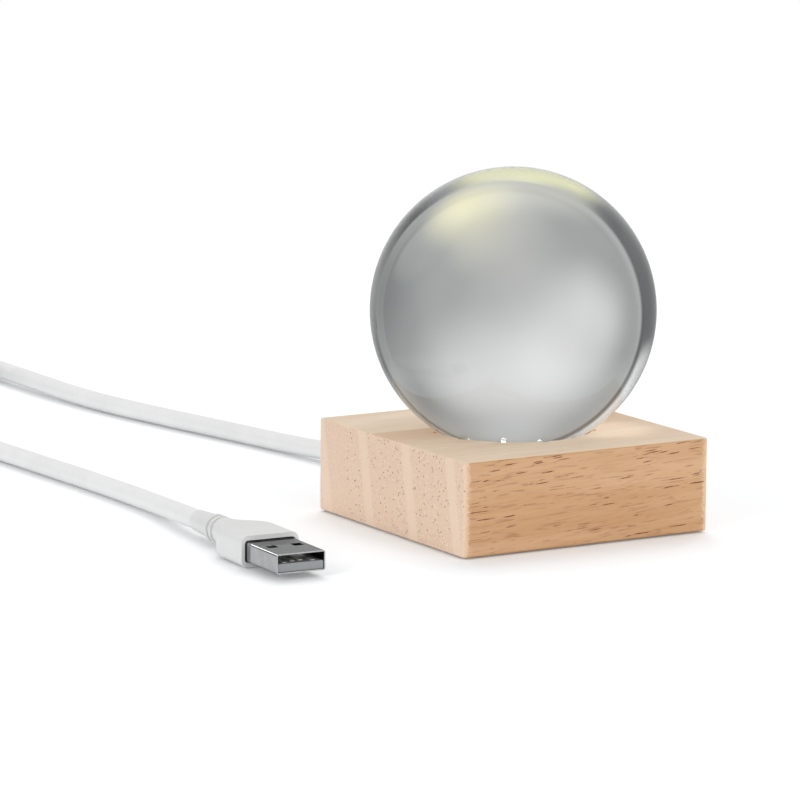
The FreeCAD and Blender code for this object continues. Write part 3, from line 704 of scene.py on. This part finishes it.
def floor_material():
    """White that keeps shadows near the lamp and is plain white further out.

    Gloss shows only the floor close to it, and from below it is clear.
    """
    material, shader, made = new_material("floor", FLOOR_ROUGHNESS)
    cloud = made.noise(made.add("TexCoord", {}, output="Object"), FLOOR_CLOUD_SCALE)
    made.put(shader.inputs["Base Color"], made.mix(cloud, *FLOOR_COLORS))
    shader.inputs["Specular IOR Level"].default_value = 0.0
    ray = made.tree.nodes.new("ShaderNodeLightPath")
    shown = made.math("MAXIMUM", ray.outputs["Is Camera Ray"], ray.outputs["Is Glossy Ray"])
    shader.inputs["Emission Color"].default_value = rgba(WHITE)
    made.put(shader.inputs["Emission Strength"], made.times(shown, FLOOR_GLOW))
    place = made.add("NewGeometry", {}, output="Position")
    far_out = made.step(made.vector("LENGTH", place, output="Value"), *FLOOR_LIT_REACH)
    plain = made.add("Emission", {"Color": rgba(WHITE)})
    plain_share = made.times(far_out, ray.outputs["Is Camera Ray"])
    surface = made.add("MixShader", {0: plain_share, 1: shader.outputs[0], 2: plain})
    far_gloss = made.times(made.step(ray.outputs["Ray Length"], *FLOOR_GLOSS_REACH),
                           ray.outputs["Is Glossy Ray"])
    below = made.add("NewGeometry", {}, output="Backfacing")
    clear = made.add("BsdfTransparent", {})
    surface = made.add("MixShader", {0: made.math("MAXIMUM", below, far_gloss), 1: surface, 2: clear})
    made.put(material.node_tree.nodes["Material Output"].inputs["Surface"], surface)
    return material


def add_floor():
    """Floor under the lamp. Glass shows the studio instead of it."""
    mesh = bpy.data.meshes.new("floor")
    corners = [(-FLOOR_HALF, -FLOOR_HALF), (FLOOR_HALF, -FLOOR_HALF), (FLOOR_HALF, FLOOR_HALF),
               (-FLOOR_HALF, FLOOR_HALF)]
    mesh.from_pydata([(x, y, -FLOOR_DROP) for x, y in corners], [], [(0, 1, 2, 3)])
    floor = bpy.data.objects.new("floor", mesh)
    scene.collection.objects.link(floor)
    floor.visible_transmission = False
    floor.data.materials.append(floor_material())


# Soft lights, aimed at the lamp: place, size and power
SOFT_LIGHTS = {
    "key_light": ((0.40, 0.60, 1.15), 1.0, 8.0),
    "left_light": ((-1.2, -0.35, 0.45), 0.8, 5.5),
    "front_light": ((0.25, -1.25, 0.45), 0.8, 4.5),
}

# Glint on the edge of the plug's shell
GLINT_WAY = in_view_axes(-0.57, 0.51, 0.63)
GLINT_DISTANCE = 0.15
GLINT_SIZE = 0.05
GLINT_POWER = 0.03

# Light that the ball gathers on the block's top
GATHERED_PLACE = (0.0180, -0.0130)
GATHERED_REACH = 0.014
GATHERED_HEIGHT = 0.30
GATHERED_POWER = 1.1


def add_light(data, power, place, aim):
    """Aims a light that neither the camera, glass nor metal shows."""
    data.energy = power
    light = bpy.data.objects.new(data.name, data)
    light.location = place
    light.rotation_euler = (aim - Vector(place)).to_track_quat("-Z", "Y").to_euler()
    light.visible_camera = False
    light.visible_glossy = False
    light.visible_transmission = False
    scene.collection.objects.link(light)
    return light


def add_soft_light(name, place, aim, size, power):
    """Square soft light."""
    data = bpy.data.lights.new(name, "AREA")
    data.size = size
    return add_light(data, power, place, aim)


def light_only(light, node_name):
    """Limits a light to one node."""
    receivers = bpy.data.collections.new(light.name + "_receivers")
    receivers.objects.link(nodes[node_name])
    light.light_linking.receiver_collection = receivers


def add_glint():
    """Small light that the edge of the plug's shell reflects, and that lights nothing else."""
    low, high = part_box("plug_shell")
    edge = Vector((low.x, (low.y + high.y) / 2, high.z))
    glint = add_soft_light("edge_light", edge + GLINT_WAY * GLINT_DISTANCE, edge, GLINT_SIZE, GLINT_POWER)
    glint.visible_glossy = True
    light_only(glint, "plug_shell")


def add_gathered_light():
    """Stands in for the patch of light that the ball gathers on the block's top, at its right."""
    patch = Vector((*GATHERED_PLACE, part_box("wood_base")[1].z))
    data = bpy.data.lights.new("gathered_light", "SPOT")
    data.spot_size = 2 * math.atan(GATHERED_REACH / GATHERED_HEIGHT)
    data.spot_blend = 1.0
    light = add_light(data, GATHERED_POWER, patch + Vector((0, 0, GATHERED_HEIGHT)), patch)
    light_only(light, "wood_base")


def add_lights():
    """Key from behind, two low fills, a glint on the plug and the light that the ball gathers."""
    for name, (place, size, power) in SOFT_LIGHTS.items():
        add_soft_light(name, place, CAMERA_ANCHOR, size, power)
    add_glint()
    add_gathered_light()


def add_camera():
    """Camera at the photo's viewing angle and distance."""
    data = bpy.data.cameras.new("camera")
    data.lens = CAMERA_LENS
    data.sensor_width = CAMERA_SENSOR_WIDTH
    camera = bpy.data.objects.new("camera", data)
    scene.collection.objects.link(camera)
    place = CAMERA_ANCHOR + BACK * CAMERA_DISTANCE
    upright = UP * math.cos(CAMERA_ROLL) - RIGHT * math.sin(CAMERA_ROLL)
    toward_back = (place - CAMERA_TARGET).normalized()
    sideways = upright.cross(toward_back).normalized()
    turned = Matrix((sideways, toward_back.cross(sideways), toward_back)).transposed().to_4x4()
    turned.translation = place
    camera.matrix_world = turned
    scene.camera = camera


dress_nodes()
add_cord()
add_ball()
limit_view_through_ball()
light_studio_world()
add_floor()
add_lights()
add_camera()
